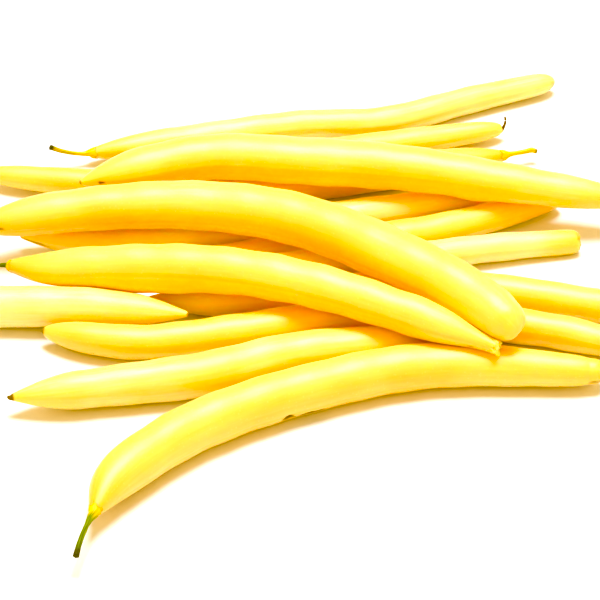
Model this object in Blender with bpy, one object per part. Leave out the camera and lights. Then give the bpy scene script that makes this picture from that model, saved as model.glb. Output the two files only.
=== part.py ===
# A bundle of wax beans: fourteen picked pods that lie loosely along each other, two layers deep.
# The numbers below are millimetres, and MM turns them into Blender's metres.
# +X runs along most of the pods, +Y across the pile away from its front, +Z up.

import math
from collections import namedtuple

import bmesh
import bpy
from mathutils import Vector

MM = 0.001

# What the pods share
GAP = 0.3  # clear space between two pods that touch
REST_CUT = 0.3  # how far a pod on the surface is pressed flat by its own weight
SEED_PITCH = 11.0  # from one seed to the next
SEED_SWELL = 0.012  # how far the skin stands out over a seed, as a share of the radius
SEEDLESS = 12.0  # length at each end of a pod that holds no seed
STATION = 2.0  # spacing of the points at which a pod is tested against what it lies on
END_RINGS = (0.0, 0.5, 1.4, 3.0)  # rings near a pod's end, measured from that end
POD_SIDES_STEP = 3  # bevel resolution of a pod, which gives ten sides
SHARP_ANGLE = 60.0  # degrees between faces, past which an edge isn't shaded smooth
WELD = 0.001  # how close the corners of a tube and its caps are when they are joined

# How a pod closes at an end: length of the closing part, radius left at the very end, and an
# exponent, where 0.5 is as round as an ellipse and 1 as long as a parabola
ENDS = {
    "neck": (15.0, 1.3, 0.95),  # narrows to a stalk
    "beak": (14.0, 0.6, 0.95),  # draws out to the dried tip of the flower
    "nose": (7.0, 1.2, 0.6),  # short rounded tip
    "stub": (16.0, 1.6, 2.0),  # a long tip that has lost its point
    "snapped": (3.0, 2.1, 0.5),  # blunt, where the stalk was snapped off
}

# Stalks
STALK_RADIUS = 0.75  # halfway along
STALK_FOOT = 1.2  # where it meets the pod
STALK_HEAD = 0.95  # at its cut end
STALK_NARROW = (0.33, 0.5)  # shares of its length between which it is no thicker than halfway
STALK_RINGS = 7
STALK_SIDES_STEP = 2
STALK_LIFT = 0.2  # least clear height over the surface

# The surface that the bundle lies on, as a slab that takes off what sinks into it
SURFACE_SIDE = 400.0
SURFACE_DEPTH = 20.0

# One row a pod, in the order in which they are laid down. The line is its middle seen from above,
# from the stalk end to the tip. Width is at the fullest place, and fullest says where along the
# pod that is. Slim gives the share of the width that is left towards the two ends.
Pod = namedtuple("Pod", "name line width fullest slim ends arch stalk", defaults=(0.0, None))
# A stalk's length, its bend to the left seen from above in degrees, and how far its end rises
Stalk = namedtuple("Stalk", "length bend rise")

PODS = (
    # The front pod, fat at the stalk end
    Pod("pod_01", ((-42.5, -65), (-39.5, -57), (-33.5, -49), (-21, -38), (0, -27), (28, -19), (66, -20)),
        10.8, 0.30, (0.86, 0.58), ("neck", "nose"), stalk=Stalk(13, 12, -0.5)),
    # Those that lie side by side on the surface, from the front to the back
    Pod("pod_02", ((32, -10), (14, -11.5), (-2, -14.5), (-20, -21), (-40, -25), (-62.5, -29)),
        9.8, 0.50, (0.62, 0.66), ("snapped", "beak")),
    Pod("pod_03", ((76, -13), (58, -6.5), (38, -2.5), (14, -1), (-14, -6.5), (-36, -9.8), (-57, -6)),
        8.6, 0.50, (0.80, 0.80), ("neck", "nose"), stalk=Stalk(8, -20, 1.0)),
    Pod("pod_04", ((-98, 3), (-67, 1.5), (-46, 0.5), (-25, -3)),
        9.4, 0.40, (0.80, 0.60), ("snapped", "beak")),
    Pod("pod_05", ((96, -4), (67, 3), (38, 9), (10, 8.3), (-14, 4.8), (-34, 5.5)),
        8.0, 0.50, (0.80, 0.70), ("snapped", "beak")),
    Pod("pod_06", ((64, 27.5), (46, 24.5), (25, 19.7), (0, 15.7), (-32, 7.5)),
        6.8, 0.50, (0.86, 0.66), ("snapped", "beak")),
    Pod("pod_07", ((60, 43), (46, 35.8), (25, 28.4), (0, 23.8), (-20, 19), (-44, 16)),
        7.8, 0.50, (0.74, 0.66), ("snapped", "beak")),
    Pod("pod_08", ((44, 42), (23, 38), (0, 32.6), (-18, 28), (-41, 25.5), (-64, 28)),
        8.0, 0.50, (0.70, 0.70), ("snapped", "beak")),
    Pod("pod_09", ((48, 58.5), (24, 52.3), (0, 47), (-20, 45), (-52, 48), (-78, 52)),
        8.0, 0.45, (0.86, 0.56), ("neck", "beak"), stalk=Stalk(8, 5, 0.0)),
    Pod("pod_10", ((-44, 55), (-20, 56), (4, 59.5), (26, 64.5), (48, 69.5)),
        7.0, 0.50, (0.70, 0.66), ("snapped", "nose")),
    Pod("pod_11", ((-49, 60), (-24, 66), (0, 71), (20, 72.5), (42, 81.5), (62, 89)),
        7.2, 0.50, (0.85, 0.75), ("neck", "nose"), stalk=Stalk(10, 0, 3.5)),
    # The three long ones on top
    Pod("pod_12", ((78, 34), (55, 36.5), (23, 41.5), (0, 43.5), (-23, 45), (-50.5, 37.5)),
        11.2, 0.60, (0.50, 0.76), ("neck", "beak"), arch=3.0, stalk=Stalk(8, 10, -1.0)),
    Pod("pod_13", ((-65.3, 12.2), (-57, 9.4), (-45, 8), (-22, 5), (0, -1), (22, -10), (42.5, -19.3)),
        10.2, 0.50, (0.72, 0.70), ("neck", "stub"), arch=4.5, stalk=Stalk(8, 130, 0.6)),
    Pod("pod_14", ((-74, 23), (-54, 26.5), (-27, 27), (-2, 21), (22, 6), (38, -7), (47, -18)),
        12.2, 0.70, (0.66, 0.74), ("neck", "nose"), arch=2.0, stalk=Stalk(6, 10, -1.0)),
)

SKIN = {"name": "wax bean skin", "colour": (0.93, 0.70, 0.09), "roughness": 0.38}
GREEN = {"name": "bean stalk", "colour": (0.22, 0.30, 0.05), "roughness": 0.6}


def clear_scene():
    for thing in list(bpy.data.objects):
        bpy.data.objects.remove(thing, do_unlink=True)


def new_collection(name):
    collection = bpy.data.collections.new(name)
    bpy.context.scene.collection.children.link(collection)
    return collection


def new_material(look):
    material = bpy.data.materials.new(look["name"])
    material.use_nodes = True
    shader = material.node_tree.nodes["Principled BSDF"]
    shader.inputs["Base Color"].default_value = (*look["colour"], 1.0)
    shader.inputs["Roughness"].default_value = look["roughness"]
    shader.inputs["Metallic"].default_value = 0.0
    material.diffuse_color = (*look["colour"], 1.0)
    return material


# Middle lines

def smooth_line(corners, step):
    # A Catmull-Rom curve through the corners, as points about a step apart
    points = [Vector(c) for c in corners]
    before = points[0] * 2 - points[1]
    after = points[-1] * 2 - points[-2]
    padded = [before, *points, after]
    line = []
    for p0, p1, p2, p3 in zip(padded, padded[1:], padded[2:], padded[3:]):
        pieces = max(2, round((p2 - p1).length / step))
        for i in range(pieces):
            t = i / pieces
            line.append(0.5 * (2 * p1 + (p2 - p0) * t + (2 * p0 - 5 * p1 + 4 * p2 - p3) * t * t
                               + (3 * p1 - p0 - 3 * p2 + p3) * t * t * t))
    return [*line, points[-1]]


def along(line):
    # Distance from the line's start to each of its points
    distances = [0.0]
    for a, b in zip(line, line[1:]):
        distances.append(distances[-1] + (b - a).length)
    return distances


def point_at(line, distances, s):
    for i in range(1, len(line)):
        if s <= distances[i] or i == len(line) - 1:
            share = (s - distances[i - 1]) / (distances[i] - distances[i - 1])
            return line[i - 1].lerp(line[i], share)


# A pod's shape

def closing(s, end):
    # What an end leaves of the radius at distance s from it: a factor and a least radius
    length, least, roundness = ENDS[end]
    share = min(1.0, max(0.0, s / length))
    return (1 - (1 - share) ** 2) ** roundness, least


def radius_at(pod, s, length):
    t = s / length
    if t < pod.fullest:
        thinned = (1 - pod.slim[0]) * ((pod.fullest - t) / pod.fullest) ** 2
    else:
        thinned = (1 - pod.slim[1]) * ((t - pod.fullest) / (1 - pod.fullest)) ** 2
    radius = pod.width / 2 * (1 - thinned)
    if SEEDLESS < s < length - SEEDLESS:
        # The first seed sits half a pitch inside the seedless end
        radius *= 1 - SEED_SWELL * math.cos(2 * math.pi * (s - SEEDLESS) / SEED_PITCH)
    else:
        radius *= 1 - SEED_SWELL
    for distance, end in ((s, pod.ends[0]), (length - s, pod.ends[1])):
        share, least = closing(distance, end)
        radius = least + (radius - least) * share
    return radius


def ring_places(length):
    # Rings on every seed, in every waist between two seeds, and closer together at the ends
    half = SEED_PITCH / 2
    middle = []
    s = SEEDLESS - half
    while s < length - SEEDLESS + half:
        middle.append(s)
        s += half
    if length - SEEDLESS + half - middle[-1] < half / 2:
        middle.pop()
    return [*END_RINGS, *middle, *(length - s for s in reversed(END_RINGS))]


# Laying the pods down

def needed_height(place, radius, laid):
    # The least height of a ball's middle over the surface and over the pods laid before
    height = radius - REST_CUT
    for other, other_radius in laid:
        reach = radius + other_radius + GAP
        across = (place - other.xy).length
        if across < reach:
            height = max(height, other.z + math.sqrt(reach * reach - across * across))
    return height


def arch_at(pod, share):
    return pod.arch * 4 * share * (1 - share)


def settle(pod, laid):
    # The pod stays stiff, so its middle line rises evenly. It touches down at one place on each
    # side of its centre of mass, and of all such pairs of places the highest holds it.
    flat = smooth_line(pod.line, STATION)
    distances = along(flat)
    length = distances[-1]
    radii = [radius_at(pod, s, length) for s in distances]
    needed = [needed_height(p, r, laid) - arch_at(pod, s / length)
              for p, r, s in zip(flat, radii, distances)]
    weight = sum(r * r for r in radii)
    centre = sum(r * r * s for r, s in zip(radii, distances)) / weight
    best = None
    for s1, h1 in zip(distances, needed):
        if s1 > centre:
            break
        for s2, h2 in zip(distances, needed):
            if s2 <= centre:
                continue
            slope = (h2 - h1) / (s2 - s1)
            height = h1 + slope * (centre - s1)
            if best is None or height > best[0]:
                best = (height, slope)
    height, slope = best
    line = [Vector((p.x, p.y, height + slope * (s - centre) + arch_at(pod, s / length)))
            for p, s in zip(flat, distances)]
    return line, distances, list(zip(line, radii))


# Solids

def tube(name, points, radii, bevel_resolution):
    # A closed tube through the points, as a curve made into a mesh, with its origin in its middle
    middle = sum(points, Vector()) / len(points)
    data = bpy.data.curves.new(name, "CURVE")
    data.dimensions = "3D"
    data.twist_mode = "Z_UP"
    data.bevel_depth = MM
    data.bevel_resolution = bevel_resolution
    data.use_fill_caps = True
    spline = data.splines.new("POLY")
    spline.points.add(len(points) - 1)
    for knot, point, radius in zip(spline.points, points, radii):
        knot.co = (*((point - middle) * MM), 1.0)
        knot.radius = radius
    guide = bpy.data.objects.new(name + "_guide", data)
    guide.location = middle * MM
    bpy.context.scene.collection.objects.link(guide)
    bpy.context.view_layer.update()
    evaluated = guide.evaluated_get(bpy.context.evaluated_depsgraph_get())
    mesh = bpy.data.meshes.new_from_object(evaluated)
    shape = bmesh.new()
    shape.from_mesh(mesh)
    bmesh.ops.remove_doubles(shape, verts=shape.verts, dist=WELD * MM)
    bmesh.ops.recalc_face_normals(shape, faces=shape.faces)
    shape.to_mesh(mesh)
    shape.free()
    mesh.shade_smooth()
    mesh.set_sharp_from_angle(angle=math.radians(SHARP_ANGLE))
    solid = bpy.data.objects.new(name, mesh)
    solid.matrix_world = guide.matrix_world.copy()
    mesh.name = name
    bpy.data.objects.remove(guide, do_unlink=True)
    return solid


def make_pod(pod, line, distances):
    length = distances[-1]
    places = ring_places(length)
    points = [point_at(line, distances, s) for s in places]
    return tube(pod.name, points, [radius_at(pod, s, length) for s in places], POD_SIDES_STEP)


def stalk_radius(share):
    # Flared where it leaves the pod, and again towards its cut end
    narrow_from, narrow_to = STALK_NARROW
    if share < narrow_from:
        return STALK_FOOT + (STALK_RADIUS - STALK_FOOT) * share / narrow_from
    widening = max(0.0, (share - narrow_to) / (1 - narrow_to))
    return STALK_RADIUS + (STALK_HEAD - STALK_RADIUS) * widening ** 2


def make_stalk(pod, line):
    # The stalk carries straight on from the pod's first end, then bends evenly along its length
    outward = (line[0] - line[1]).normalized()
    angle = math.atan2(outward.y, outward.x)
    step = pod.stalk.length / (STALK_RINGS - 1)
    place = line[0] + GAP * outward
    points = []
    radii = []
    for i in range(STALK_RINGS):
        share = i / (STALK_RINGS - 1)
        radius = stalk_radius(share)
        height = max(radius + STALK_LIFT, place.z + pod.stalk.rise * share * share)
        points.append(Vector((place.x, place.y, height)))
        radii.append(radius)
        turned = angle + math.radians(pod.stalk.bend) * share
        place = place + step * Vector((math.cos(turned), math.sin(turned), outward.z))
    return tube(pod.name.replace("pod", "stalk"), points, radii, STALK_SIDES_STEP)


def make_surface_cutter(collection):
    # Leaves a pod that it cuts a small flat to rest on
    shape = bmesh.new()
    bmesh.ops.create_cube(shape, size=1.0)
    mesh = bpy.data.meshes.new("surface_cutter")
    bmesh.ops.scale(shape, verts=shape.verts, vec=Vector((SURFACE_SIDE, SURFACE_SIDE, SURFACE_DEPTH)) * MM)
    bmesh.ops.translate(shape, verts=shape.verts, vec=(0, 0, -SURFACE_DEPTH / 2 * MM))
    shape.to_mesh(mesh)
    shape.free()
    cutter = bpy.data.objects.new("surface_cutter", mesh)
    cutter.hide_render = True
    cutter.display_type = "WIRE"
    collection.objects.link(cutter)
    return cutter


def press_flat(solid, cutter):
    boolean = solid.modifiers.new("resting spot", "BOOLEAN")
    boolean.operation = "DIFFERENCE"
    boolean.solver = "EXACT"
    boolean.object = cutter


def centre_over_origin(solids, bundle):
    # The origin is under the middle of the whole bundle
    bpy.context.view_layer.update()
    corners = [solid.matrix_world @ Vector(corner) for solid in solids for corner in solid.bound_box]
    middle_x = (min(c.x for c in corners) + max(c.x for c in corners)) / 2
    middle_y = (min(c.y for c in corners) + max(c.y for c in corners)) / 2
    bundle.location = (-middle_x, -middle_y, 0)
    print(f"shifted by {-middle_x / MM:.3f} {-middle_y / MM:.3f} mm")


def main():
    clear_scene()
    beans = new_collection("bundle of wax beans")
    cutters = new_collection("cutters")
    skin = new_material(SKIN)
    green = new_material(GREEN)
    bundle = bpy.data.objects.new("bundle", None)
    beans.objects.link(bundle)
    cutter = make_surface_cutter(cutters)
    laid = []
    solids = []
    for pod in PODS:
        line, distances, balls = settle(pod, laid)
        laid += balls
        solid = make_pod(pod, line, distances)
        solid.data.materials.append(skin)
        solids.append(solid)
        low = min(place.z - radius for place, radius in balls)
        if low < 0:
            press_flat(solid, cutter)
        heights = [place.z for place, radius in balls]
        print(pod.name, f"{distances[-1]:.1f} mm long, {heights[0]:.1f} to {heights[-1]:.1f} high")
        if pod.stalk:
            stalk = make_stalk(pod, line)
            stalk.data.materials.append(green)
            solids.append(stalk)
    for solid in solids:
        beans.objects.link(solid)
        solid.parent = bundle
    cutter.parent = bundle
    centre_over_origin(solids, bundle)


main()
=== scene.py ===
# Wax beans: the skin, ends and stalks of a loose pile of fourteen picked pods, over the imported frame.
# Lengths are millimetres up to the moment a mesh is made.

import math
import random

import bpy
import numpy as np
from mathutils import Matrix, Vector, noise


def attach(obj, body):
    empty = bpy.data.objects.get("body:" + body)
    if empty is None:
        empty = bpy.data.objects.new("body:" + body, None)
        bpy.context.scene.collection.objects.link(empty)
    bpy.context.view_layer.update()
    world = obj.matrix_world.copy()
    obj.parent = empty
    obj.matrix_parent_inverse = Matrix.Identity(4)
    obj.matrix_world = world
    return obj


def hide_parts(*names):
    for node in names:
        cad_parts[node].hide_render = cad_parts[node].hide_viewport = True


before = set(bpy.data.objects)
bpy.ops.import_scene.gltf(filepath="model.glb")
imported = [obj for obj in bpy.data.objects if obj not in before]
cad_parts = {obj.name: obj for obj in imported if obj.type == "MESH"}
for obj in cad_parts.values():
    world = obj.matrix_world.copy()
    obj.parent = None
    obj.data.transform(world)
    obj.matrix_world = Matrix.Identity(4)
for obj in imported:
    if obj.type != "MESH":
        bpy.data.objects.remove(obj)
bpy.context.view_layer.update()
mm = 0.001


# Small helpers

def srgb(hexText):
    # An sRGB hex colour as the linear one that a shader takes
    channels = [int(hexText[i:i + 2], 16) / 255 for i in (1, 3, 5)]
    return (*[c / 12.92 if c <= 0.04045 else ((c + 0.055) / 1.055) ** 2.4 for c in channels], 1.0)


def addNode(tree, kind, settings, links=None):
    # One node: settings are its own properties or its inputs' values, links feed its inputs
    node = tree.nodes.new(kind)
    for name, value in settings.items():
        if isinstance(name, str) and hasattr(node, name):
            setattr(node, name, value)
        else:
            node.inputs[name].default_value = value
    for name, source in (links or {}).items():
        tree.links.new(source, node.inputs[name])
    return node


def newMaterial(name):
    material = bpy.data.materials.new(name)
    material.use_nodes = True
    tree = material.node_tree
    return material, tree, tree.nodes["Principled BSDF"]


def smoothStep(low, high, value):
    share = np.clip((value - low) / (high - low), 0, 1)
    return share * share * (3 - 2 * share)


def bump01(distance, width):
    return np.exp(-(distance / width) ** 2)


# Reading a middle line and its radii back from a solid of the frame

reading = {
    "endRings": (0.0, 0.5, 1.4, 3.0),  # where the solid has its rings, from each end
    "seedPitch": 11.0,  # from one seed to the next
    "seedless": 12.0,  # length at each end without a seed
    "offRing": 0.02,  # slices just beside a ring, so that no corner lies in the slice
    "capDepth": 0.25,  # how far behind the furthest corner the others of an end cap are
    "podStep": 2.0,  # how far a pod is followed at a time
    "stalkStep": 0.5,
    "stalkGap": 0.3,  # from a pod's start to its stalk
}


def unit(vector):
    return vector / np.linalg.norm(vector, axis=-1, keepdims=True)


def sliceAt(corners, place, direction, sides):
    # Middle and radius of a section, from the outline of the slice through the solid
    side = (corners - place) @ direction
    crossings = []
    for a, b in ((0, 1), (1, 2), (2, 0)):
        crosses = side[:, a] * side[:, b] < 0
        share = side[:, a] / np.where(crosses, side[:, a] - side[:, b], 1)
        crossings.append((crosses, corners[:, a] + share[:, None] * (corners[:, b] - corners[:, a])))
    (first, p0), (second, p1), (third, p2) = crossings
    start = np.where(first[:, None], p0, p1)
    end = np.where(third[:, None], p2, p1)
    length = np.linalg.norm(end - start, axis=1) * (first | second | third)
    if not length.sum():
        return None, 0
    middle = ((start + end) / 2 * length[:, None]).sum(0) / length.sum()
    return middle, length.sum() / (2 * sides * math.sin(math.pi / sides))


def followTube(corners, start, direction, sides, step):
    # Walks from slice to slice up to the tube's end, and adds the middle of the cap there
    line = [start]
    while True:
        ahead = line[-1] + direction * step
        found, radius = sliceAt(corners, ahead, direction, sides)
        if found is None or np.linalg.norm(found - ahead) > step:
            break
        direction = unit(found - line[-1])
        line.append(found)
    points = corners.reshape(-1, 3)
    reach = (points - line[-1]) @ direction
    cap = points[reach > reach.max() - reading["capDepth"]]
    middle = (cap.max(0) + cap.min(0)) / 2
    if np.linalg.norm(middle - line[-1]) < step / 2:
        line.pop()
    return [*line, middle], np.linalg.norm(cap - middle, axis=1).max()


def distancesAlong(line):
    return np.concatenate([[0], np.cumsum(np.linalg.norm(np.diff(line, axis=0), axis=1))])


def tangentsOf(line, places):
    return unit(np.gradient(line, places, axis=0))


def interpolate(places, values, wanted):
    # A smooth cubic through the values, with each slope taken from the neighbours
    slopes = np.gradient(values, places, axis=0)
    i = np.clip(np.searchsorted(places, wanted) - 1, 0, len(places) - 2)
    width = places[i + 1] - places[i]
    t = (wanted - places[i]) / width
    if values.ndim > 1:
        t, width = t[:, None], width[:, None]
    t2, t3 = t * t, t * t * t
    return ((2 * t3 - 3 * t2 + 1) * values[i] + (t3 - 2 * t2 + t) * width * slopes[i]
            + (3 * t2 - 2 * t3) * values[i + 1] + (t3 - t2) * width * slopes[i + 1])


def ringPlaces(length):
    half = reading["seedPitch"] / 2
    ends = reading["endRings"]
    middle = list(np.arange(reading["seedless"] - half, length - reading["seedless"] + half, half))
    if length - reading["seedless"] + half - middle[-1] < half / 2:
        middle.pop()
    return np.array([*ends, *middle, *(length - s for s in reversed(ends))])


def cornersOf(name):
    # The corners of a solid's triangles, as (triangle, corner, xyz)
    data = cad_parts[name].data
    data.calc_loop_triangles()
    vertices = np.array([v.co for v in data.vertices]) / mm
    return vertices[np.array([t.vertices for t in data.loop_triangles])]


def measureRings(corners, line, radii, tangents, wanted, sides):
    # Moves each wanted point of a line to the middle of its slice, and notes the radius there
    for k in wanted:
        place = line[k] + tangents[k] * reading["offRing"]
        line[k], radii[k] = sliceAt(corners, place, tangents[k], sides)


def readPod(name, sides, startSide, step):
    # startSide is -1 where the line starts at the solid's left end, and 1 at its right one
    corners = cornersOf(name)
    vertices = corners.reshape(-1, 3)
    low = vertices[np.argmin(vertices[:, 0])]
    high = vertices[np.argmax(vertices[:, 0])]
    chord = unit(high - low)
    around = [sliceAt(corners, (low + high) / 2 + chord * away, chord, sides)[0]
              for away in (-step, step)]
    hub, heading = sum(around) / 2, unit(around[1] - around[0])
    leftPart, leftRadius = followTube(corners, hub, -heading, sides, step)
    rightPart, rightRadius = followTube(corners, hub, heading, sides, step)
    guide = np.array([*leftPart[:0:-1], *rightPart])
    ends = [leftRadius, rightRadius]
    if startSide > 0:
        guide = guide[::-1]
        ends.reverse()
    along = distancesAlong(guide)
    places = ringPlaces(along[-1])
    tangents = unit(interpolate(along, tangentsOf(guide, along), places))
    line = interpolate(along, guide, places)
    radii = np.zeros(len(line))
    measureRings(corners, line, radii, tangents, range(1, len(line) - 1), sides)
    radii[0], radii[-1] = ends
    return line, distancesAlong(line), radii


def readStalk(name, sides, rings, pod):
    # A stalk is followed from its foot, which sits just off the start of its pod
    corners = cornersOf(name)
    line, places, radii = pod
    outward = -tangentsOf(line, places)[0]
    foot = line[0] + outward * reading["stalkGap"]
    near = foot + outward * reading["stalkStep"]
    guide, headRadius = followTube(corners, near, outward, sides, reading["stalkStep"])
    guide = np.array([foot, *guide])
    along = distancesAlong(guide)
    places = np.linspace(0, along[-1], rings)
    tangents = unit(interpolate(along, tangentsOf(guide, along), places))
    line = interpolate(along, guide, places)
    radii = np.full(rings, headRadius)
    measureRings(corners, line, radii, tangents, range(rings - 1), sides)
    return line, distancesAlong(line), radii


# Lofting a closed skin round a line

def ringFrames(line, places, stations):
    # Along, up and sideways at each station of a middle line
    tangents = unit(interpolate(places, tangentsOf(line, places), stations))
    across = unit(np.cross(tangents, (0, 0, 1)))
    return tangents, np.cross(across, tangents), across


def loft(name, rings, poles, attributes, material):
    # rings is (along, around, xyz) in millimetres, and a pole closes each end
    along, around = rings.shape[:2]
    vertices = np.vstack([rings.reshape(-1, 3), poles[0], poles[1]]) * mm
    first, last = along * around, along * around + 1
    faces = []
    for i in range(along - 1):
        for j in range(around):
            k = (j + 1) % around
            faces.append((i * around + j, i * around + k, (i + 1) * around + k, (i + 1) * around + j))
    for j in range(around):
        k = (j + 1) % around
        faces.append((first, k, j))
        faces.append((last, (along - 1) * around + j, (along - 1) * around + k))
    mesh = bpy.data.meshes.new(name)
    mesh.from_pydata([tuple(v) for v in vertices], [], faces)
    for title, values in attributes.items():
        flat = values.reshape(along * around, -1)
        ends = [flat[:around].mean(0), flat[-around:].mean(0)]
        flat = np.vstack([flat, *ends]).astype(np.float32)
        if flat.shape[1] == 3:
            mesh.attributes.new(title, "FLOAT_VECTOR", "POINT").data.foreach_set("vector", flat.ravel())
        else:
            mesh.attributes.new(title, "FLOAT", "POINT").data.foreach_set("value", flat.ravel())
    mesh.shade_smooth()
    mesh.materials.append(material)
    piece = bpy.data.objects.new(name, mesh)
    bpy.context.scene.collection.objects.link(piece)
    return piece


# How fast the finer layers of a noise fade, and how much finer each is than the one before
layering = {"fade": 0.9, "finer": 2.1}

# Each pattern is moved along by so many mm, times the pod's number where it is the pod's own, so
# that no two pods and no two layers of one skin wander alike
shift = {"pod": 400.0, "stalk": 60.0, "tear": 50.0, "ripple": 90.0, "mark": 30.0, "uneven": 20.0}


def noiseOver(points, size, layers=2):
    # Smooth noise about 0 at each point, with features of that size
    values = [noise.fractal(Vector(p), layering["fade"], layering["finer"], layers,
                            noise_basis="PERLIN_ORIGINAL") for p in points.reshape(-1, 3) / size]
    return np.array(values).reshape(points.shape[:-1])


# Camera, at the photo's viewing angle

view = {
    "elevation": 40.0,
    "distance": 700.0,
    "target": (0.817, -6.184, 8.0),
    "lens": 189.0,
    "sensor": 36.0,
    "nearest": 0.01,  # m, where the camera begins to see
}


def makeCamera():
    tilt = math.radians(view["elevation"])
    back = Vector((0, -math.cos(tilt), math.sin(tilt))) * view["distance"]
    camera = bpy.data.objects.new("camera", bpy.data.cameras.new("camera"))
    camera.location = (Vector(view["target"]) + back) * mm
    camera.rotation_euler = (math.pi / 2 - tilt, 0, 0)
    camera.data.lens = view["lens"]
    camera.data.sensor_width = view["sensor"]
    camera.data.clip_start = view["nearest"]
    bpy.context.scene.collection.objects.link(camera)
    bpy.context.scene.camera = camera


makeCamera()
print("camera placed")


# Skin: the waxy outer layer of a ripe yellow bean pod, grown smooth and washed. It gives the eye a
# soft satin highlight, gold that glows through the flesh, and hardly any grain.

skinLook = {
    "pale": "#FFDF98",
    "lemon": "#FFD06A",
    "gold": "#FFC052",
    "amber": "#FEAC34",
    "green": "#B9BE2E",
    "speck": "#FFEFA0",
    "torn": "#FFDF7A",
    "brown": "#45281A",
    "stops": ((0.0, "pale"), (0.3, "lemon"), (0.65, "gold"), (1.0, "amber")),
    "toneSize": 26.0,  # mm from one broad lighter patch to the next
    "toneSwing": 0.2,
    "streakWidth": 0.9,  # mm, fibres under the skin, drawn coarser than they are so that they show
    "streakLength": 14.0,
    "streakSwing": 0.1,
    "speckSpacing": 1.1,  # mm between the pale specks
    "speckEdge": (0.05, 0.25),  # where a speck starts to fade and has faded, as a share of the spacing
    "speckStrength": 0.2,
    "grain": 0.35,  # mm, the fine leathery grain
    "grainShare": 0.35,  # its height, as a share of the streaks'
    "relief": 0.06,  # mm
    "reliefStrength": 0.5,
    "roughness": 0.55,
    "roughSwing": (-0.05, 0.07),
    "driedRoughness": 0.35,  # how much rougher the dried parts are
    "ior": 1.55,
    "glow": 1.0,  # share of light that passes through the flesh
    "glowDepth": 4.0,  # mm
    "glowColour": (1.0, 0.5, 0.08),  # how far red, green and blue travel, as shares of the depth
    "wax": 1.0,
    "waxRoughness": 0.45,
    "bloom": 0.2,  # the fine down that catches light along the edges
    "bloomRoughness": 0.4,
}


def makeSkin():
    material, tree, shader = newMaterial("waxy bean skin")
    look = skinLook

    unrolled = addNode(tree, "ShaderNodeAttribute", {"attribute_name": "unrolled"}).outputs["Vector"]
    tone, greenness, darkMark, torn, seam = [
        addNode(tree, "ShaderNodeAttribute", {"attribute_name": title}).outputs["Fac"]
        for title in ("tone", "greenness", "darkMark", "torn", "seam")]

    broad = addNode(tree, "ShaderNodeTexNoise", {"Scale": 1 / look["toneSize"], "Detail": 3.0},
                    {"Vector": unrolled})
    stretched = addNode(tree, "ShaderNodeVectorMath", {"operation": "MULTIPLY", 1: (
        1 / look["streakLength"], 1 / look["streakWidth"], 1 / look["streakWidth"])}, {0: unrolled})
    streaks = addNode(tree, "ShaderNodeTexNoise", {"Scale": 1.0, "Detail": 4.0, "Roughness": 0.6},
                      {"Vector": stretched.outputs[0]})
    specks = addNode(tree, "ShaderNodeTexVoronoi", {"Scale": 1 / look["speckSpacing"]},
                     {"Vector": unrolled})
    grain = addNode(tree, "ShaderNodeTexNoise", {"Scale": 1 / look["grain"], "Detail": 2.0},
                    {"Vector": unrolled})

    # Tone runs from pale at 0 to amber at 1, and wanders by patch and by streak
    patchy = spread(tree, broad.outputs["Fac"], -look["toneSwing"], look["toneSwing"])
    streaky = spread(tree, streaks.outputs["Fac"], -look["streakSwing"], look["streakSwing"])
    summed = addNode(tree, "ShaderNodeMath", {"operation": "ADD"}, {0: patchy, 1: streaky})
    toned = clampedSum(tree, summed.outputs[0], tone)
    yellow = addNode(tree, "ShaderNodeValToRGB", {}, {"Fac": toned})
    setStops(yellow, look)

    inner, outer = look["speckEdge"]
    speckled = addNode(tree, "ShaderNodeMapRange", {
        "From Min": inner, "From Max": outer, "To Min": look["speckStrength"], "To Max": 0.0},
        {"Value": specks.outputs["Distance"]})
    colour = mix(tree, speckled.outputs[0], yellow.outputs[0], srgb(look["speck"]))
    # Where the dark-mark attribute is set the skin turns brown: dried ends and scars, and a few marks
    # that are painted shade along a lower edge.
    for factor, above in ((seam, "amber"), (greenness, "green"), (torn, "torn"), (darkMark, "brown")):
        colour = mix(tree, factor, colour, srgb(look[above]))
    tree.links.new(colour, shader.inputs["Base Color"])

    rough = unevenGloss(tree, streaks.outputs["Fac"], look)
    rougher = addNode(tree, "ShaderNodeMath", {"operation": "MULTIPLY_ADD", 1: look["driedRoughness"]},
                      {0: darkMark, 2: rough})
    tree.links.new(rougher.outputs[0], shader.inputs["Roughness"])
    waxed = addNode(tree, "ShaderNodeMapRange", {"To Min": look["wax"], "To Max": 0.0},
                    {"Value": clampedSum(tree, darkMark, torn)})
    tree.links.new(waxed.outputs[0], shader.inputs["Coat Weight"])
    glowing = addNode(tree, "ShaderNodeMapRange", {"To Min": look["glow"], "To Max": 0.0},
                      {"Value": darkMark})
    tree.links.new(glowing.outputs[0], shader.inputs["Subsurface Weight"])

    fine = addNode(tree, "ShaderNodeMath", {"operation": "MULTIPLY_ADD", 1: look["grainShare"]},
                   {0: grain.outputs["Fac"], 2: streaks.outputs["Fac"]})
    bump = addNode(tree, "ShaderNodeBump",
                   {"Strength": look["reliefStrength"], "Distance": look["relief"] * mm},
                   {"Height": fine.outputs[0]})
    tree.links.new(bump.outputs[0], shader.inputs["Normal"])

    shader.inputs["IOR"].default_value = look["ior"]
    shader.inputs["Subsurface Radius"].default_value = look["glowColour"]
    shader.inputs["Subsurface Scale"].default_value = look["glowDepth"] * mm
    shader.inputs["Coat Roughness"].default_value = look["waxRoughness"]
    shader.inputs["Sheen Weight"].default_value = look["bloom"]
    shader.inputs["Sheen Roughness"].default_value = look["bloomRoughness"]
    return material


noiseReach = {"From Min": 0.3, "From Max": 0.7}  # nearly all of a noise's values lie between these


def spread(tree, noiseFactor, low, high):
    # Noise that keeps near its middle, spread over the whole range from low to high
    return addNode(tree, "ShaderNodeMapRange", {**noiseReach, "To Min": low, "To Max": high},
                   {"Value": noiseFactor}).outputs[0]


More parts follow.
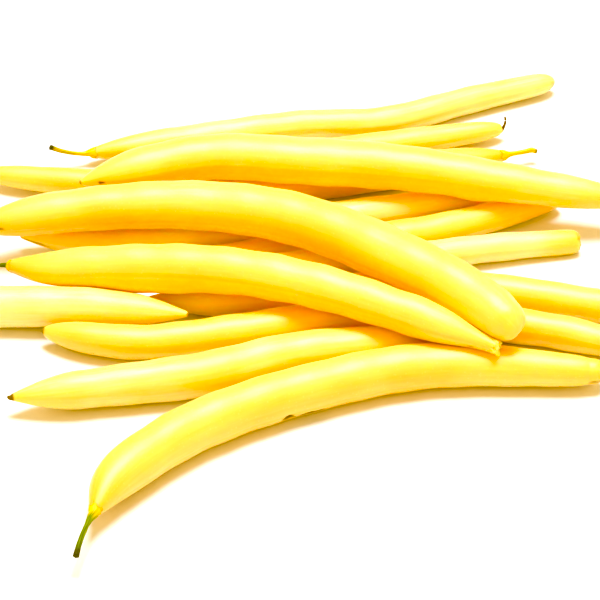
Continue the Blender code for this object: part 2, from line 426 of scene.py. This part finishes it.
def unevenGloss(tree, noiseFactor, look):
    # A roughness that wanders with a noise, so that the highlight breaks up
    low, high = look["roughSwing"]
    return spread(tree, noiseFactor, look["roughness"] + low, look["roughness"] + high)


def clampedSum(tree, one, other):
    return addNode(tree, "ShaderNodeMath", {"operation": "ADD", "use_clamp": True},
                   {0: one, 1: other}).outputs[0]


def setStops(ramp, look):
    # Lays the look's colours along a ramp, each at its own place from 0 to 1
    elements = ramp.color_ramp.elements
    while len(elements) < len(look["stops"]):
        elements.new(0.5)
    for element, (place, title) in zip(elements, look["stops"]):
        element.position = place
        element.color = srgb(look[title])


def mix(tree, factor, below, above):
    # One colour over another, where above is a socket or a fixed colour
    node = addNode(tree, "ShaderNodeMix", {"data_type": "RGBA"})
    tree.links.new(factor, node.inputs["Factor"])
    for socket, colour in ((node.inputs[6], below), (node.inputs[7], above)):
        if isinstance(colour, tuple):
            socket.default_value = colour
        else:
            tree.links.new(colour, socket)
    return node.outputs[2]


# Stalk: a thin green stem, ridged along its fibres. It is yellow where it leaves the pod and has
# dried to a dark rim at its cut end, which tells the eye that the bean was just picked.

stalkLook = {
    "straw": "#F2C238",
    "green": "#66801F",
    "dark": "#34470F",
    "dry": "#2B2E2C",
    "stops": ((0.0, "straw"), (0.5, "green"), (1.0, "dark")),
    "fibreWidth": 0.25,  # mm from one fibre to the next
    "fibreLength": 4.0,
    "fibreSwing": 0.3,
    "relief": 0.06,  # mm
    "reliefStrength": 0.6,
    "roughness": 0.6,
    "roughSwing": (-0.1, 0.15),
    "glow": 0.15,
    "glowDepth": 0.8,  # mm
    "glowColour": (0.6, 1.0, 0.15),
}


def makeStalkGreen():
    material, tree, shader = newMaterial("green bean stalk")
    look = stalkLook
    unrolled = addNode(tree, "ShaderNodeAttribute", {"attribute_name": "unrolled"}).outputs["Vector"]
    tone, dryness = [addNode(tree, "ShaderNodeAttribute", {"attribute_name": title}).outputs["Fac"]
                     for title in ("tone", "darkMark")]
    stretched = addNode(tree, "ShaderNodeVectorMath", {"operation": "MULTIPLY", 1: (
        1 / look["fibreLength"], 1 / look["fibreWidth"], 1 / look["fibreWidth"])}, {0: unrolled})
    fibres = addNode(tree, "ShaderNodeTexNoise", {"Scale": 1.0, "Detail": 3.0},
                     {"Vector": stretched.outputs[0]})
    fibrous = spread(tree, fibres.outputs["Fac"], -look["fibreSwing"], look["fibreSwing"])
    greens = addNode(tree, "ShaderNodeValToRGB", {}, {"Fac": clampedSum(tree, tone, fibrous)})
    setStops(greens, look)
    colour = mix(tree, dryness, greens.outputs[0], srgb(look["dry"]))
    tree.links.new(colour, shader.inputs["Base Color"])
    rough = unevenGloss(tree, fibres.outputs["Fac"], look)
    tree.links.new(rough, shader.inputs["Roughness"])
    bump = addNode(tree, "ShaderNodeBump",
                   {"Strength": look["reliefStrength"], "Distance": look["relief"] * mm},
                   {"Height": fibres.outputs["Fac"]})
    tree.links.new(bump.outputs[0], shader.inputs["Normal"])
    shader.inputs["Subsurface Weight"].default_value = look["glow"]
    shader.inputs["Subsurface Radius"].default_value = look["glowColour"]
    shader.inputs["Subsurface Scale"].default_value = look["glowDepth"] * mm
    return material


skin = makeSkin()
stalkGreen = makeStalkGreen()
print("materials made")


# Pods

podShape = {
    "columns": 64,
    "crowding": 0.75,  # how far the columns crowd towards the two seams
    "ringStep": 0.7,
    "endStep": 0.2,
    "endZone": 4.0,
    "sides": 10,  # of the frame's solids
    "patternRadius": 5.0,  # patterns are laid out as if each pod were this thick
    "bodyStart": 12.0,  # how far from an end seams and lumps have their full height
    "floorGap": 0.02,
    "oval": 0.02,  # wider across the seams, as a share of the radius
    "seedSwell": 0.2,  # mm that a seed raises the skin on the two flat sides
    "seedWidth": 3.4,
    "seedSizes": (0.5, 1.2),  # share of the swell
    "seedWander": 0.8,  # how far a seed lies off its place in the row
    "seedSides": 2.5,  # how sharply a swell keeps to the flat sides
    "lump": 0.012,  # share of the radius
    "lumpSize": 24.0,
    "ripple": 0.004,
    "rippleSize": 4.5,
    "rippleLayers": 3,
    "seamDepth": 0.05,
    "seamWidth": 0.32,
    "lipHeight": 0.04,
    "lipPlace": 0.75,
    "cordHeight": 0.04,
    "seamTint": 0.18,
    "neckTone": 0.4,  # how much more golden a pod is at its stalk end
    "neckReach": 14.0,
    "greenReach": 9.0,  # how far a pod is greenish from its stalk end
    "tipGreen": 0.2,
    "tipGreenReach": 6.0,
    "folds": 8,  # lengthwise folds round a closing end
    "foldDepth": 0.05,
    "foldRadius": 2.0,  # a thinner end has shallower folds
    "foldReach": (5.0, 6.0),  # how far the folds run from the stalk end and from the tip
    "foldWander": 3.0,
    "foldWanderSize": 9.0,
    "driedBlur": 0.25,
}

# How a torn end looks: its edge is ragged and its pale flesh shows
tearShape = {
    "rings": 6,  # how many rings before the end are uneven too
    "size": 0.9,  # mm from one shred to the next
    "layers": 3,
    "reach": 1.2,  # how far before the end the skin is torn
    "sideways": 0.6,  # share of the raggedness that goes outwards
    "paleShare": 3.0,  # how pale it gets for each mm of raggedness, up to 1
    "pale": (-0.8, 0.1),  # where the flesh starts to show, and where it shows fully
}

# The edge of a mark: where it starts to fade and has faded, in its own half sizes, and how it frays
markEdge = {"inner": 0.5, "outer": 1.2, "fray": 0.5, "fraySize": 1.5}

# The skin keeps this far from the frame solids of its neighbours
clearance = {
    "gap": 0.12,
    "step": 1.0,  # how far apart a neighbour's middle line is sampled
    "nearby": 14.0,  # a neighbour further off than this isn't looked at
    "most": 0.6,  # how far the skin is pressed back at most
    "tiny": 1e-9,  # added to a length that something is divided by
}

# How a pod closes past the end of its solid. profile: distance in mm, share of the solid's last
# radius, and how far the middle moves up. A rounded end has a power instead: it follows a
# superellipse over its last zone mm, where 2 is an ellipse and 3 is blunter.
# brown: how dark the dried part is. It starts reach mm before the solid's end, or past that end
# where reach is negative. rough: mm by which the end is torn.
closings = {
    "neck": {"profile": ((0.0, 0.8, 0.0), (0.0, 0.4, 0.0)), "brown": 0.0, "reach": 1.0, "rough": 0.0},
    "round": {"zone": 5.0, "power": 2.0, "brown": 0.0, "reach": 1.0, "rough": 0.0},
    "blunt": {"zone": 3.0, "power": 3.0, "brown": 0.0, "reach": 1.0, "rough": 0.0},
    "slender": {"zone": 13.0, "power": 1.8, "brown": 0.85, "reach": 0.5, "rough": 0.0},
    "nib": {"profile": ((0.15, 0.85, 0.0), (0.3, 0.6, 0.0), (0.36, 0.3, 0.0)),
            "brown": 0.8, "reach": 0.0, "rough": 0.05},
    "hook": {"profile": ((0.15, 0.95, 0.05), (0.3, 0.8, 0.15), (0.4, 0.6, 0.3), (0.4, 0.35, 0.45)),
             "brown": 0.9, "reach": 0.7, "rough": 0.08},
    "tail": {"profile": ((0.25, 0.9, 0.0), (0.5, 0.6, 0.05), (0.75, 0.36, 0.2), (0.95, 0.27, 0.55),
                         (1.1, 0.25, 1.0), (1.2, 0.24, 1.5), (1.25, 0.23, 2.0), (1.25, 0.22, 2.5),
                         (1.2, 0.2, 3.0), (1.1, 0.16, 3.4)),
             "brown": 0.95, "reach": -0.45, "rough": 0.0},
    "torn": {"profile": ((0.2, 0.96, 0.0), (0.45, 0.9, 0.0), (0.65, 0.8, 0.0), (0.7, 0.66, 0.0),
                         (0.6, 0.48, 0.0), (0.5, 0.25, 0.0)), "brown": 0.1, "reach": 0.3, "rough": 0.9},
    "snapped": {"profile": ((0.12, 0.97, 0.0), (0.16, 0.88, 0.0), (0.06, 0.74, 0.0), (-0.06, 0.55, 0.0),
                            (-0.16, 0.35, 0.0), (-0.2, 0.15, 0.0)),
                "brown": 0.4, "reach": 0.2, "rough": 0.2},
}
roundPast = 0.3  # mm that a rounded end reaches past its solid
roundSteps = (0.08, 0.17, 0.24, 0.28, 0.297)

# One row a pod. side: where its stalk end lies, -1 left and 1 right. ends: how the stalk end and the
# other one close. tone: 0 pale to 1 amber. roll: degrees by which its seams are turned from the
# horizontal. green: at the stalk end. seeds: how strongly they show.
# marksAndShade: distance from the stalk end, degrees round from the top towards the front, length,
# width, depth and how brown; most are the pod's own scars and spots, and a few are painted shade along
# a
# lower edge. swells: distance, degrees, length, width and height, where a pod is stouter than its
# solid.
# A pod's tone is partly its own shade of yellow and partly painted light: pods lying deep in shade,
# such as pod_08, are given paler tones to make up for the light that misses them.
pods = {
    "pod_01": {"side": -1, "ends": ("neck", "blunt"), "tone": 0.45, "roll": 12, "green": 0.1,
               "seeds": 0.5,
               # The first two marks of pod_01 are partly a real brown scar and partly painted shade
               # along the pod's lower edge.
               "marksAndShade": ((54.2, 118, 1.7, 1.3, 0.3, 1.0), (59.5, 122, 5.5, 0.8, 0.15, 0.9),
                         (124.7, 112, 1.6, 0.8, 0.05, 0.6)),
               "swells": ((94, -45, 22, 4.0, 0.8),)},
    "pod_02": {"side": 1, "ends": ("snapped", "hook"), "tone": 0.25, "roll": -18, "green": 0.1,
               "seeds": 0.8},
    "pod_03": {"side": 1, "ends": ("neck", "slender"), "tone": 0.50, "roll": 25, "green": 0.1,
               "seeds": 0.6},
    "pod_04": {"side": -1, "ends": ("snapped", "nib"), "tone": 0.15, "roll": 8, "green": 0.1,
               "seeds": 0.6},
    "pod_05": {"side": 1, "ends": ("snapped", "nib"), "tone": 0.35, "roll": -10, "green": 0.1,
               "seeds": 0.6},
    "pod_06": {"side": 1, "ends": ("snapped", "nib"), "tone": 0.00, "roll": 20, "green": 0.25,
               "seeds": 0.6, "marksAndShade": ((0.4, 15, 0.7, 1.6, 0.05, 0.45),)},
    "pod_07": {"side": 1, "ends": ("snapped", "nib"), "tone": 0.40, "roll": -5, "green": 0.1,
               "seeds": 0.6},
    "pod_08": {"side": 1, "ends": ("snapped", "nib"), "tone": 0.10, "roll": 14, "green": 0.1,
               # pod_08's mark is painted shade: a dark line along its lower edge near the tip, where it
               # lies on the pod below.
               "seeds": 0.6, "marksAndShade": ((106.5, 105, 4.5, 0.45, 0.08, 0.55),)},
    "pod_09": {"side": 1, "ends": ("neck", "nib"), "tone": 0.50, "roll": -14, "green": 0.2,
               "seeds": 0.6},
    "pod_10": {"side": -1, "ends": ("snapped", "tail"), "tone": 0.40, "roll": 10, "green": 0.1,
               "seeds": 0.5},
    "pod_11": {"side": -1, "ends": ("neck", "round"), "tone": 0.20, "roll": -8, "green": 0.2,
               "seeds": 0.5, "marksAndShade": ((115.2, 100, 1.6, 2.0, 0.02, 0.3),)},
    "pod_12": {"side": 1, "ends": ("neck", "nib"), "tone": 0.35, "roll": 16, "green": 0.1,
               "seeds": 0.5, "marksAndShade": ((126.2, 76, 0.7, 0.45, 0.12, 0.85),),
               "swells": ((37, 138, 5, 3.0, 0.6),)},
    "pod_13": {"side": -1, "ends": ("neck", "torn"), "tone": 0.45, "roll": -12, "green": 0.1,
               "seeds": 1.2,
               "marksAndShade": ((108.5, 112, 1.1, 0.3, 0.12, 0.7), (3.2, 118, 3.6, 0.3, 0.08, 0.7)),
               "swells": ((34, 130, 14, 3.5, 1.4),)},
    "pod_14": {"side": -1, "ends": ("neck", "round"), "tone": 0.40, "roll": 6, "green": 0.15,
               "seeds": 0.6, "marksAndShade": ((5.6, 82, 0.6, 0.45, 0.12, 0.8),),
               "swells": ((122, 135, 12, 3.5, 0.9),)},
}


def closeEnd(closing, away, radius):
    # Rounds the radii near an end, away mm from it, and returns the rings past the end
    if "profile" in closing:
        last = radius[np.argmin(away)]
        return radius, [(d, share * last, rise) for d, share, rise in closing["profile"]]
    zone, power = closing["zone"], closing["power"]
    full = np.interp(zone, *(v[np.argsort(away)] for v in (away, radius)))

    def rounded(distance):
        share = np.clip((zone - distance) / (zone + roundPast), 0, 1)
        return full * (1 - share ** power) ** (1 / power)

    past = [(d, rounded(-d), 0.0) for d in roundSteps]
    return np.where(away < zone, np.minimum(rounded(away), full), radius), past


def podStations(length, radii, places, ends):
    # Fine stations along the pod and what each end adds: place, radius and rise of each ring
    zone, step, fine = podShape["endZone"], podShape["ringStep"], podShape["endStep"]
    inner = np.linspace(zone, length - zone, round((length - 2 * zone) / step) + 1)
    front = np.linspace(0, zone, round(zone / fine) + 1)[:-1]
    stations = np.concatenate([front, inner, length - front[::-1]])
    radius = interpolate(places, radii, stations)
    radius, first = closeEnd(closings[ends[0]], stations, radius)
    radius, last = closeEnd(closings[ends[1]], length - stations, radius)
    rows = [(-d, r, rise) for d, r, rise in reversed(first)]
    rows += zip(stations, radius, np.zeros(len(stations)))
    rows += [(length + d, r, rise) for d, r, rise in last]
    return np.array(rows).T, len(first), len(last)


def podFrames(line, places, stations, rises):
    # The middle of each ring, carried straight on past the ends and then raised, and its frame
    inside = np.clip(stations, 0, places[-1])
    tangents, up, across = ringFrames(line, places, inside)
    middle = interpolate(places, line, inside) + (stations - inside)[:, None] * tangents
    middle = middle + rises[:, None] * up
    if rises.any():
        raised = np.nonzero(rises)[0]
        turned = unit(np.gradient(middle, axis=0))[raised]
        tangents[raised] = turned
        across[raised] = unit(np.cross(turned, (0, 0, 1)))
        up[raised] = np.cross(across[raised], turned)
    return middle, tangents, up, across


def seamRelief(phi, r):
    # The seams: a groove between two lips on one side and a low cord on the other
    arc = np.abs(np.angle(np.exp(1j * phi)))
    seam = bump01(r * arc, podShape["seamWidth"])
    lips = bump01(r * arc - podShape["lipPlace"], podShape["seamWidth"])
    cord = bump01(r * (math.pi - arc), podShape["seamWidth"])
    relief = podShape["lipHeight"] * lips - podShape["seamDepth"] * seam + podShape["cordHeight"] * cord
    return relief, seam


def seedRelief(s, phi, length, draw):
    # Seeds raise the two sides between the seams
    swelling = np.zeros_like(s)
    seed = reading["seedless"] + reading["seedPitch"] / 2
    while seed < length - reading["seedless"]:
        size = draw.uniform(*podShape["seedSizes"])
        off = draw.uniform(-podShape["seedWander"], podShape["seedWander"])
        swelling = swelling + size * bump01(s - seed - off, podShape["seedWidth"])
        seed += reading["seedPitch"]
    return podShape["seedSwell"] * swelling * np.abs(np.sin(phi)) ** podShape["seedSides"]


def growSkin(look, number, length, s, r, phi, unrolled):
    # How far the skin stands out from the solid's radius, and how strongly the seam is tinted
    body = smoothStep(0, podShape["bodyStart"], s) * smoothStep(0, podShape["bodyStart"], length - s)
    relief, seam = seamRelief(phi, r)
    lumps = noiseOver(unrolled, podShape["lumpSize"]) * podShape["lump"]
    ripples = podShape["ripple"] * noiseOver(
        unrolled + shift["ripple"], podShape["rippleSize"], podShape["rippleLayers"])

    stalkReach, tipReach = podShape["foldReach"]
    ends = bump01(s, stalkReach) + bump01(length - s, tipReach)
    wander = podShape["foldWander"] * noiseOver(unrolled, podShape["foldWanderSize"])
    folds = np.sin(podShape["folds"] * phi + wander)
    foldDepth = podShape["foldDepth"] * ends * np.minimum(r / podShape["foldRadius"], 1)

    grown = (look["seeds"] * seedRelief(s, phi, length, random.Random(number)) + body * relief
             + r * body * (lumps + ripples + podShape["oval"] * np.cos(2 * phi))
             - foldDepth * (0.5 + 0.5 * folds))
    return grown, podShape["seamTint"] * body * seam


def markSkin(look, s, r, angle, unrolled, grown):
    # The pod's swells and marks, each at so many degrees round from the top; a few marks are painted
    # shade along a lower edge rather than scars
    def arcFrom(degrees):
        return r * np.angle(np.exp(1j * (angle + look["side"] * math.radians(degrees))))

    for place, degrees, length, width, height in look.get("swells", ()):
        grown = grown + height * bump01(s - place, length) * bump01(arcFrom(degrees), width)
    darkMark = np.zeros(unrolled.shape[:2])
    fray = markEdge["fray"] * noiseOver(unrolled + shift["mark"], markEdge["fraySize"])
    for place, degrees, length, width, depth, brown in look.get("marksAndShade", ()):
        away = np.sqrt(((s - place) / length) ** 2 + (arcFrom(degrees) / width) ** 2)
        mark = 1 - smoothStep(markEdge["inner"], markEdge["outer"], away + fray)
        grown = grown - depth * mark
        darkMark = np.maximum(darkMark, brown * mark)
    return grown, darkMark


def finishEnd(closing, outward, past, rows, number, rings, radial, tangents):
    # Makes an end ragged where it is torn, and returns how much flesh shows and how dried it is
    ragged = noiseOver(rings[rows] + shift["tear"] * number, tearShape["size"], tearShape["layers"])
    ragged = closing["rough"] * (ragged * smoothStep(-tearShape["reach"], 0, past[rows])[:, None])
    rings[rows] += (outward * ragged)[..., None] * tangents[rows][:, None]
    rings[rows] += ragged[..., None] * radial[rows] * tearShape["sideways"]
    torn = min(1, tearShape["paleShare"] * closing["rough"]) * smoothStep(*tearShape["pale"], past)
    reach, blur = closing["reach"], podShape["driedBlur"]
    dried = closing["brown"] * smoothStep(-reach - blur, -reach + blur, past)
    return torn[:, None], dried[:, None]


def makePod(name, look, readings):
    line, places, radii = readings[name]
    length = places[-1]
    number = int(name[-2:])
    (stations, radius, rises), before, after = podStations(length, radii, places, look["ends"])
    middle, tangents, up, across = podFrames(line, places, stations, rises)

    turn = np.linspace(0, 2 * math.pi, podShape["columns"], endpoint=False)
    phi = turn - podShape["crowding"] * np.sin(2 * turn) / 2
    angle = phi + math.radians(90 + look["roll"])
    s = np.clip(stations, 0, length)[:, None]
    r = radius[:, None]
    thick = podShape["patternRadius"]
    unrolled = np.stack(np.broadcast_arrays(
        s + shift["pod"] * number, thick * np.cos(phi), thick * np.sin(phi)), axis=-1)
    grown, seam = growSkin(look, number, length, s, r, phi, unrolled)
    grown, darkMark = markSkin(look, s, r, angle, unrolled, grown)

    radial = (np.cos(angle)[None, :, None] * up[:, None]
              + np.sin(angle)[None, :, None] * across[:, None])
    rings = middle[:, None] + radial * (r + grown)[..., None]
    torn = np.zeros_like(darkMark)
    uneven = tearShape["rings"]
    for end, outward, past, rows in (
            (look["ends"][0], -1, -stations, slice(0, before + uneven)),
            (look["ends"][1], 1, stations - length, slice(-after - uneven, None))):
        flesh, dried = finishEnd(closings[end], outward, past, rows, number, rings, radial, tangents)
        torn = np.maximum(torn, flesh)
        darkMark = np.maximum(darkMark, dried)

    rings = keepClear(name, rings, middle, readings)
    rings[..., 2] = np.maximum(rings[..., 2], podShape["floorGap"])
    golden = podShape["neckTone"] * (1 - smoothStep(0, podShape["neckReach"], s))
    green = (look["green"] * (1 - smoothStep(0, podShape["greenReach"], s))
             + podShape["tipGreen"] * (1 - smoothStep(0, podShape["tipGreenReach"], length - s)))
    blank = np.zeros_like(darkMark)
    attributes = {
        "unrolled": unrolled,
        "tone": np.clip(blank + look["tone"] + golden, 0, 1),
        "greenness": np.clip(blank + green, 0, 1),
        "darkMark": np.clip(darkMark, 0, 1),
        "torn": np.clip(torn, 0, 1),
        "seam": seam,
    }
    piece = loft(name + "_skin", rings, (rings[0].mean(0), rings[-1].mean(0)), attributes, skin)
    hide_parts(name)
    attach(piece, "root")


def keepClear(name, rings, middle, readings):
    # Presses the skin back where it comes too close to the solid of a neighbour
    centres, sizes = [], []
    for other, (line, places, radii) in readings.items():
        if other != name:
            stations = np.arange(clearance["step"] / 2, places[-1], clearance["step"])
            centres.append(interpolate(places, line, stations))
            sizes.append(interpolate(places, radii, stations))
    centres, sizes = np.vstack(centres), np.concatenate(sizes)
    for row, hub in zip(rings, middle):
        near = np.linalg.norm(centres - hub, axis=1) < clearance["nearby"] + sizes
        if not near.any():
            continue
        gaps = np.linalg.norm(row[:, None] - centres[near][None], axis=2) - sizes[near]
        press = np.clip(clearance["gap"] - gaps.min(1), 0, clearance["most"])
        inward = hub - row
        inward /= np.linalg.norm(inward, axis=1)[:, None] + clearance["tiny"]
        row += inward * press[:, None]
    return rings


readings = {name: readPod(name, podShape["sides"], look["side"], reading["podStep"])
            for name, look in pods.items()}
for name, look in pods.items():
    makePod(name, look, readings)
print("pods made")


# Stalks

stalkShape = {
    "columns": 40,
    "ringStep": 0.16,
    "sides": 8,  # of the frame's solids
    "rings": 7,
    "cup": 0.7,  # mm that the cup at the stalk's foot reaches over the pod
    "cupThickness": 0.07,
    "cupEnd": 0.6,  # where the cup has become the stalk
    "rim": 0.25,  # how dark the cup's edge is
    "rimWidth": 0.15,
    "backSteps": 5,  # how many points of the pod's line the cup follows
    "lobes": 5,
    "lobeDepth": 0.45,  # share of the cup's reach that is lost between two lobes
    "ribs": 6,
    "ribDepth": 0.07,  # share of the radius
    "uneven": 0.10,
    "unevenSize": 2.2,
    "cut": ((0.08, 0.92), (0.14, 0.6), (0.1, 0.25)),  # mm past the end, share of the radius
    "driedBlur": 0.6,
}

# thin: share of the solid's radius that is left. flare: mm over which the foot narrows.
# tone: from the foot to the cut end, 0 straw to 1 dark. dried: mm of dark cut end.
stalks = {
    "stalk_01": {"thin": 0.72, "flare": 3.0, "tone": (0.4, 1.0), "dried": 1.6},
    "stalk_03": {"thin": 0.85, "flare": 2.0, "tone": (0.2, 0.6), "dried": 1.0},
    "stalk_09": {"thin": 0.70, "flare": 2.0, "tone": (0.05, 0.15), "dried": 0.1},
    "stalk_11": {"thin": 0.62, "flare": 2.4, "tone": (0.0, 0.4), "dried": 0.7},
    "stalk_12": {"thin": 0.85, "flare": 2.0, "tone": (0.2, 0.6), "dried": 1.0},
    "stalk_13": {"thin": 0.52, "flare": 1.1, "tone": (0.8, 1.0), "dried": 1.0},
    "stalk_14": {"thin": 0.85, "flare": 2.0, "tone": (0.2, 0.6), "dried": 1.0},
}


def stalkPath(pod, stalk):
    # The pod's first stretch backwards and then the stalk, measured from the pod's end
    podLine, podPlaces, podRadii = pod
    line, places, radii = stalk
    inside = np.linspace(-2 * stalkShape["cup"], 0, stalkShape["backSteps"])
    path = np.vstack([interpolate(podPlaces, podLine, -inside), line])
    return path, distancesAlong(path) + inside[0]


def makeStalk(name, look):
    podName = name.replace("stalk", "pod")
    pod = readings[podName]
    stalk = readStalk(name, stalkShape["sides"], stalkShape["rings"], pod)
    path, pathPlaces = stalkPath(pod, stalk)
    number = int(name[-2:])
    end = pathPlaces[-1]
    cup, cupEnd = stalkShape["cup"], stalkShape["cupEnd"]
    stations = np.linspace(-cup, end, round((end + cup) / stalkShape["ringStep"]) + 1)
    past = np.array([0.0] * len(stations) + [d for d, share in stalkShape["cut"]])[:, None]
    closing = np.array([1.0] * len(stations) + [share for d, share in stalkShape["cut"]])[:, None]
    stations = np.concatenate([stations, [end] * len(stalkShape["cut"])])
    phi = np.linspace(0, 2 * math.pi, stalkShape["columns"], endpoint=False)
    between = 0.5 - 0.5 * np.cos(stalkShape["lobes"] * phi)

    # Between two lobes the cup's rim lies nearer to the stalk
    s = stations[:, None] + 0 * phi
    s = np.where(s < cupEnd, cupEnd - (cupEnd - s) * (1 - stalkShape["lobeDepth"] * between), s)
    tangents, up, across = [f.reshape(*s.shape, 3) for f in ringFrames(path, pathPlaces, s.ravel())]
    middle = interpolate(pathPlaces, path, s.ravel()).reshape(*s.shape, 3) + past[..., None] * tangents

    (_, podPlaces, podRadii), (_, stalkPlaces, stalkRadii) = pod, stalk
    along = np.clip(s - reading["stalkGap"], 0, stalkPlaces[-1]).ravel()
    stem = look["thin"] * interpolate(stalkPlaces, stalkRadii, along).reshape(s.shape)
    onPod = interpolate(podPlaces, podRadii, np.maximum(-s, 0).ravel()).reshape(s.shape)
    onPod = onPod + stalkShape["cupThickness"]
    r = stem + (onPod - stem) * (1 - smoothStep(0, 1, np.maximum(s, 0) / look["flare"]))
    unrolled = np.stack(np.broadcast_arrays(
        s + shift["stalk"] * number, np.cos(phi), np.sin(phi)), axis=-1)
    ribs = np.cos(stalkShape["ribs"] * phi + number) * smoothStep(0, look["flare"], s)
    uneven = noiseOver(unrolled + shift["uneven"], stalkShape["unevenSize"])
    r = r * closing * (1 + stalkShape["ribDepth"] * ribs
                       + stalkShape["uneven"] * uneven * smoothStep(0, 1, s))
    rings = middle + r[..., None] * (np.cos(phi)[None, :, None] * up
                                     + np.sin(phi)[None, :, None] * across)
    rings = keepClear(podName, rings, middle.mean(1), readings)

    first, last = look["tone"]
    driedFrom, blur = end - look["dried"], stalkShape["driedBlur"]
    dried = smoothStep(driedFrom - blur, driedFrom + blur, s + blur * uneven)
    rim = stalkShape["rim"] * bump01(stations[:, None] + cup, stalkShape["rimWidth"]) + 0 * phi
    attributes = {
        "unrolled": unrolled,
        "tone": (first + (last - first) * np.clip(s / end, 0, 1)) * smoothStep(0, look["flare"], s),
        "darkMark": np.clip(np.maximum(dried, rim), 0, 1),
    }
    piece = loft(name + "_stem", rings, (rings[0].mean(0), rings[-1].mean(0)), attributes, stalkGreen)
    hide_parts(name)
    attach(piece, "root")


for name, look in stalks.items():
    makeStalk(name, look)
print("stalks made")


# Stage: a seamless light sheet under a large softbox, lit so strongly that it comes out white

stageLook = {
    "size": 3.0,  # m from the middle to each edge
    "white": "#E4E7EE",
    "shade": "#E0E3EA",
    "stops": ((0.3, "shade"), (0.7, "white")),
    "fibres": 300.0,  # to the metre
    "roughness": 0.8,
    "boxSize": (0.45, 0.35),  # m
    "boxPlace": (0.04, 0.17, 0.985),  # m
    "boxPower": 14.0,  # W
    "sky": 1.2,
    "skyColour": "#FFDAA0",
    "contrast": "None",
    "exposure": 0.0,
    "darkest": (0.0, 0.01, 0.11),  # the red, green and blue that come out as none
}


def makeStage():
    size = stageLook["size"]
    mesh = bpy.data.meshes.new("sheet")
    corners = [(-size, -size, 0), (size, -size, 0), (size, size, 0), (-size, size, 0)]
    mesh.from_pydata(corners, [], [(0, 1, 2, 3)])
    floor = bpy.data.objects.new("sheet", mesh)
    bpy.context.scene.collection.objects.link(floor)
    material, tree, shader = newMaterial("matt white paper")
    coordinates = addNode(tree, "ShaderNodeTexCoord", {})
    fibre = addNode(tree, "ShaderNodeTexNoise", {"Scale": stageLook["fibres"], "Detail": 4.0},
                    {"Vector": coordinates.outputs["Object"]})
    white = addNode(tree, "ShaderNodeValToRGB", {}, {"Fac": fibre.outputs["Fac"]})
    setStops(white, stageLook)
    tree.links.new(white.outputs[0], shader.inputs["Base Color"])
    shader.inputs["Roughness"].default_value = stageLook["roughness"]
    mesh.materials.append(material)

    world = bpy.data.worlds.new("white room")
    bpy.context.scene.world = world
    world.use_nodes = True
    background = world.node_tree.nodes["Background"]
    background.inputs["Color"].default_value = srgb(stageLook["skyColour"])
    background.inputs["Strength"].default_value = stageLook["sky"]

    lamp = bpy.data.lights.new("softbox", "AREA")
    lamp.shape = "RECTANGLE"
    lamp.size, lamp.size_y = stageLook["boxSize"]
    lamp.energy = stageLook["boxPower"]
    softbox = bpy.data.objects.new("softbox", lamp)
    softbox.location = stageLook["boxPlace"]
    softbox.rotation_euler = (-Vector(stageLook["boxPlace"])).to_track_quat("-Z", "Y").to_euler()
    bpy.context.scene.collection.objects.link(softbox)


def developPicture():
    # The photo is bright and its shadows have lost nearly all blue, as in a strongly graded print
    settings = bpy.context.scene.view_settings
    settings.view_transform = "Standard"
    settings.look = stageLook["contrast"]
    settings.exposure = stageLook["exposure"]
    settings.use_curve_mapping = True
    settings.curve_mapping.black_level = stageLook["darkest"]


makeStage()
developPicture()
print("stage set")
